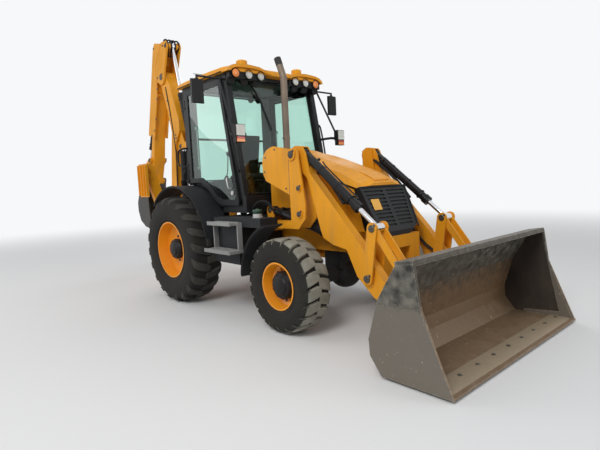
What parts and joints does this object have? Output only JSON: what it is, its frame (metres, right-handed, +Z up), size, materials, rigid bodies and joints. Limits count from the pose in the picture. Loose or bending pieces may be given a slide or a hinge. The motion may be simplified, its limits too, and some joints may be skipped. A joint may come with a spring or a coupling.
{
  "type": "backhoe loader",
  "caption": "A yellow backhoe loader with a glazed cab, its wide front bucket on the ground and its backhoe folded upright behind.",
  "frame": {"origin": "on the ground under the middle of the machine's length, on its centre line", "axes": "+X forward, towards the front bucket; +Y to the machine's left; +Z up"},
  "size_m": [7.287, 2.36, 4.08],
  "materials": {
    "body_yellow": "gloss",
    "chassis_black": "satin",
    "cab_charcoal": "satin",
    "engine_grey": "matte",
    "step_steel": "matte",
    "exhaust_brown": "matte",
    "bucket_worn": "matte",
    "rod_chrome": "polished",
    "window_glass": "gloss",
    "tyre_rubber": "matte",
    "lamp_amber": "gloss",
    "control_black": "matte",
    "seat_fabric": "matte"
  },
  "bodies": {
    "chassis": {"main_frame": "body_yellow", "rear_frame": "body_yellow", "front_axle": "chassis_black", "rear_axle": "chassis_black", "engine_block": "engine_grey", "engine_cowls": "body_yellow", "radiator_grille": "cab_charcoal", "exhaust_stack": "exhaust_brown", "side_tanks": "cab_charcoal", "steps": "step_steel", "fenders": "cab_charcoal", "cab_frame": "cab_charcoal", "cab_roof": "body_yellow", "cab_glass": "window_glass", "cab_controls": "control_black", "lamps": "lamp_amber"},
    "bonnet": {"bonnet": "body_yellow"},
    "door_left": {"door_left": "cab_charcoal", "door_glass_left": "window_glass"},
    "door_right": {"door_right": "cab_charcoal", "door_glass_right": "window_glass"},
    "seat": {"seat": "seat_fabric"},
    "knuckle_left": {"knuckle_left": "chassis_black"},
    "knuckle_right": {"knuckle_right": "chassis_black"},
    "wheel_front_left": {"tyre_front_left": "tyre_rubber", "rim_front_left": "body_yellow"},
    "wheel_front_right": {"tyre_front_right": "tyre_rubber", "rim_front_right": "body_yellow"},
    "wheel_rear_left": {"tyre_rear_left": "tyre_rubber", "rim_rear_left": "body_yellow"},
    "wheel_rear_right": {"tyre_rear_right": "tyre_rubber", "rim_rear_right": "body_yellow"},
    "loader_arms": {"loader_arms": "body_yellow"},
    "front_bucket": {"front_bucket": "bucket_worn"},
    "loader_levers": {"loader_levers": "body_yellow"},
    "loader_links": {"loader_links": "body_yellow"},
    "lift_barrel": {"lift_ram_barrels": "chassis_black"},
    "lift_rod": {"lift_ram_rods": "rod_chrome"},
    "tilt_barrel": {"tilt_ram_barrels": "chassis_black"},
    "tilt_rod": {"tilt_ram_rods": "rod_chrome"},
    "kingpost": {"kingpost": "body_yellow"},
    "boom": {"boom": "body_yellow"},
    "dipper": {"dipper": "body_yellow"},
    "dipper_extension": {"dipper_extension": "body_yellow"},
    "hoe_bucket": {"hoe_bucket": "bucket_worn"},
    "hoe_lever": {"hoe_lever": "body_yellow"},
    "hoe_link": {"hoe_link": "body_yellow"},
    "boom_ram_barrel": {"boom_ram_barrel": "chassis_black"},
    "boom_ram_rod": {"boom_ram_rod": "rod_chrome"},
    "dipper_ram_barrel": {"dipper_ram_barrel": "chassis_black"},
    "dipper_ram_rod": {"dipper_ram_rod": "rod_chrome"},
    "hoe_ram_barrel": {"hoe_ram_barrel": "chassis_black"},
    "hoe_ram_rod": {"hoe_ram_rod": "rod_chrome"},
    "stabiliser_left": {"stabiliser_left": "body_yellow"},
    "stabiliser_right": {"stabiliser_right": "body_yellow"},
    "leg_left_barrel": {"stabiliser_ram_left": "chassis_black"},
    "leg_left_rod": {"stabiliser_rod_left": "rod_chrome"},
    "leg_right_barrel": {"stabiliser_ram_right": "chassis_black"},
    "leg_right_rod": {"stabiliser_rod_right": "rod_chrome"}
  },
  "joints": [
    {"name": "steer_left", "type": "hinge", "parent": "chassis", "child": "knuckle_left", "pos_m": [1.615, 0.64, 0.49], "axis": [0, 0, 1], "range_deg": [-35, 35]},
    {"name": "steer_right", "type": "hinge", "parent": "chassis", "child": "knuckle_right", "pos_m": [1.615, -0.64, 0.49], "axis": [0, 0, 1], "range_deg": [-35.5, 35.5]},
    {"name": "roll_front_left", "type": "hinge", "parent": "knuckle_left", "child": "wheel_front_left", "pos_m": [1.615, 0.87, 0.49], "axis": [0, 1, 0], "continuous": true},
    {"name": "roll_rear_left", "type": "hinge", "parent": "chassis", "child": "wheel_rear_left", "pos_m": [-0.555, 0.905, 0.71], "axis": [0, 1, 0], "continuous": true},
    {"name": "roll_front_right", "type": "hinge", "parent": "knuckle_right", "child": "wheel_front_right", "pos_m": [1.615, -0.87, 0.49], "axis": [0, 1, 0], "continuous": true},
    {"name": "roll_rear_right", "type": "hinge", "parent": "chassis", "child": "wheel_rear_right", "pos_m": [-0.555, -0.905, 0.71], "axis": [0, 1, 0], "continuous": true},
    {"name": "bonnet_lid", "type": "hinge", "parent": "chassis", "child": "bonnet", "pos_m": [0.791, 0, 1.905], "axis": [0, -1, 0], "range_deg": [0, 45]},
    {"name": "door_left_swing", "type": "hinge", "parent": "chassis", "child": "door_left", "pos_m": [-0.535, 0.74, 2.2], "axis": [0, 0, 1], "range_deg": [0, 80]},
    {"name": "door_right_swing", "type": "hinge", "parent": "chassis", "child": "door_right", "pos_m": [-0.535, -0.74, 2.2], "axis": [0, 0, -1], "range_deg": [0, 80]},
    {"name": "seat_turn", "type": "hinge", "parent": "chassis", "child": "seat", "pos_m": [-0.075, 0, 1.55], "axis": [0, 0, 1], "range_deg": [0, 180]},
    {"name": "arms_lift", "type": "hinge", "parent": "chassis", "child": "loader_arms", "pos_m": [1.56, 0, 1.82], "axis": [0, -1, 0], "range_deg": [-3, 100]},
    {"name": "bucket_tilt", "type": "hinge", "parent": "loader_arms", "child": "front_bucket", "pos_m": [2.845, 0, 0.3], "axis": [0, 1, 0], "range_deg": [-45, 140]},
    {"name": "lift_swing", "type": "hinge", "parent": "chassis", "child": "lift_barrel", "pos_m": [0.925, 0, 1.22], "axis": [0, -1, 0], "range_deg": [-2.11, 54.12]},
    {"name": "lift_stroke", "type": "slide", "parent": "lift_barrel", "child": "lift_rod", "axis": [0.9673, 0, -0.2536], "range_m": [-0.0308, 0.8645]},
    {"name": "lever_swing", "type": "hinge", "parent": "loader_arms", "child": "loader_levers", "pos_m": [2.505, 0, 0.62], "axis": [0, 1, 0], "range_deg": [-29.36, 90.28]},
    {"name": "link_swing", "type": "hinge", "parent": "front_bucket", "child": "loader_links", "pos_m": [2.935, 0, 0.61], "axis": [0, 1, 0], "range_deg": [-113.02, 36.67]},
    {"name": "tilt_swing", "type": "hinge", "parent": "loader_arms", "child": "tilt_barrel", "pos_m": [1.65, 0, 1.832], "axis": [0, 1, 0], "range_deg": [-0.55, 0.65]},
    {"name": "tilt_stroke", "type": "slide", "parent": "tilt_barrel", "child": "tilt_rod", "axis": [0.778, 0, -0.6283], "range_m": [-0.1972, 0.6029]},
    {"name": "slew", "type": "hinge", "parent": "chassis", "child": "kingpost", "pos_m": [-1.9, 0, 0.8], "axis": [0, 0, 1], "range_deg": [-90, 90]},
    {"name": "boom_swing", "type": "hinge", "parent": "kingpost", "child": "boom", "pos_m": [-2.255, 0, 0.96], "axis": [0, -1, 0], "range_deg": [0, 120]},
    {"name": "boom_ram_swing", "type": "hinge", "parent": "kingpost", "child": "boom_ram_barrel", "pos_m": [-2.1, 0, 1.245], "axis": [0, -1, 0], "range_deg": [-0.5, 124.16]},
    {"name": "boom_ram_stroke", "type": "slide", "parent": "boom_ram_barrel", "child": "boom_ram_rod", "axis": [0.0652, 0, 0.9979], "range_m": [-0.005, 0.5587]},
    {"name": "dipper_swing", "type": "hinge", "parent": "boom", "child": "dipper", "pos_m": [-2.445, 0, 3.47], "axis": [0, 1, 0], "range_deg": [0, 95]},
    {"name": "dipper_ram_swing", "type": "hinge", "parent": "boom", "child": "dipper_ram_barrel", "pos_m": [-1.76, 0, 2.26], "axis": [0, 1, 0], "range_deg": [-0.5, 7.15]},
    {"name": "dipper_ram_stroke", "type": "slide", "parent": "dipper_ram_barrel", "child": "dipper_ram_rod", "axis": [-0.2552, 0, 0.9669], "range_m": [-0.7817, 0.005]},
    {"name": "extension_slide", "type": "slide", "parent": "dipper", "child": "dipper_extension", "axis": [-0.2857, 0, -0.9583], "range_m": [0, 1]},
    {"name": "hoe_tilt", "type": "hinge", "parent": "dipper_extension", "child": "hoe_bucket", "pos_m": [-3.195, 0, 1.69], "axis": [0, 1, 0], "range_deg": [-35, 95]},
    {"name": "hoe_lever_swing", "type": "hinge", "parent": "dipper_extension", "child": "hoe_lever", "pos_m": [-3.106, 0, 2.073], "axis": [0, 1, 0], "range_deg": [-22.98, 61.51]},
    {"name": "hoe_link_swing", "type": "hinge", "parent": "hoe_bucket", "child": "hoe_link", "pos_m": [-3.46, 0, 1.527], "axis": [0, 1, 0], "range_deg": [-108.72, 40.37]},
    {"name": "hoe_ram_swing", "type": "hinge", "parent": "dipper_extension", "child": "hoe_ram_barrel", "pos_m": [-2.885, 0, 3.364], "axis": [0, 1, 0], "range_deg": [-4.16, 10.43]},
    {"name": "hoe_ram_stroke", "type": "slide", "parent": "hoe_ram_barrel", "child": "hoe_ram_rod", "axis": [-0.3644, 0, -0.9313], "range_m": [-0.3606, 0.136]},
    {"name": "leg_left_swing", "type": "hinge", "parent": "chassis", "child": "stabiliser_left", "pos_m": [-1.61, 0.52, 0.7], "axis": [-1, 0, 0], "range_deg": [0, 107]},
    {"name": "leg_left_ram_swing", "type": "hinge", "parent": "chassis", "child": "leg_left_barrel", "pos_m": [-1.705, 0.2, 1.35], "axis": [-1, 0, 0], "range_deg": [-0.5, 5.67]},
    {"name": "leg_left_ram_stroke", "type": "slide", "parent": "leg_left_barrel", "child": "leg_left_rod", "axis": [0, 0.672, -0.7406], "range_m": [-0.005, 0.3851]},
    {"name": "leg_right_swing", "type": "hinge", "parent": "chassis", "child": "stabiliser_right", "pos_m": [-1.61, -0.52, 0.7], "axis": [1, 0, 0], "range_deg": [0, 107]},
    {"name": "leg_right_ram_swing", "type": "hinge", "parent": "chassis", "child": "leg_right_barrel", "pos_m": [-1.705, -0.2, 1.35], "axis": [1, 0, 0], "range_deg": [-0.5, 5.67]},
    {"name": "leg_right_ram_stroke", "type": "slide", "parent": "leg_right_barrel", "child": "leg_right_rod", "axis": [0, -0.672, -0.7406], "range_m": [-0.005, 0.3851]}
  ],
  "couplings": [
    {"joint": "steer_right", "follows": "steer_left", "ratio": 1},
    {"joint": "lift_swing", "follows": "arms_lift", "ratio": 0.53617},
    {"joint": "lift_stroke", "follows": "arms_lift", "m_per_rad": 0.49248},
    {"joint": "lever_swing", "follows": "bucket_tilt", "ratio": 0.64128},
    {"joint": "link_swing", "follows": "bucket_tilt", "ratio": -0.80373},
    {"joint": "tilt_swing", "follows": "bucket_tilt", "ratio": 0.00105},
    {"joint": "tilt_stroke", "follows": "bucket_tilt", "m_per_rad": 0.24471},
    {"joint": "boom_ram_swing", "follows": "boom_swing", "ratio": 1.0305},
    {"joint": "boom_ram_stroke", "follows": "boom_swing", "m_per_rad": 0.26436},
    {"joint": "dipper_ram_swing", "follows": "dipper_swing", "ratio": 0.070025},
    {"joint": "dipper_ram_stroke", "follows": "dipper_swing", "m_per_rad": -0.46842},
    {"joint": "hoe_lever_swing", "follows": "hoe_tilt", "ratio": 0.64221},
    {"joint": "hoe_link_swing", "follows": "hoe_tilt", "ratio": -1.1392},
    {"joint": "hoe_ram_swing", "follows": "hoe_tilt", "ratio": 0.10449},
    {"joint": "hoe_ram_stroke", "follows": "hoe_tilt", "m_per_rad": -0.21446},
    {"joint": "leg_left_ram_swing", "follows": "leg_left_swing", "ratio": 0.048333},
    {"joint": "leg_left_ram_stroke", "follows": "leg_left_swing", "m_per_rad": 0.20354},
    {"joint": "leg_right_ram_swing", "follows": "leg_right_swing", "ratio": 0.048333},
    {"joint": "leg_right_ram_stroke", "follows": "leg_right_swing", "m_per_rad": 0.20354}
  ]
}
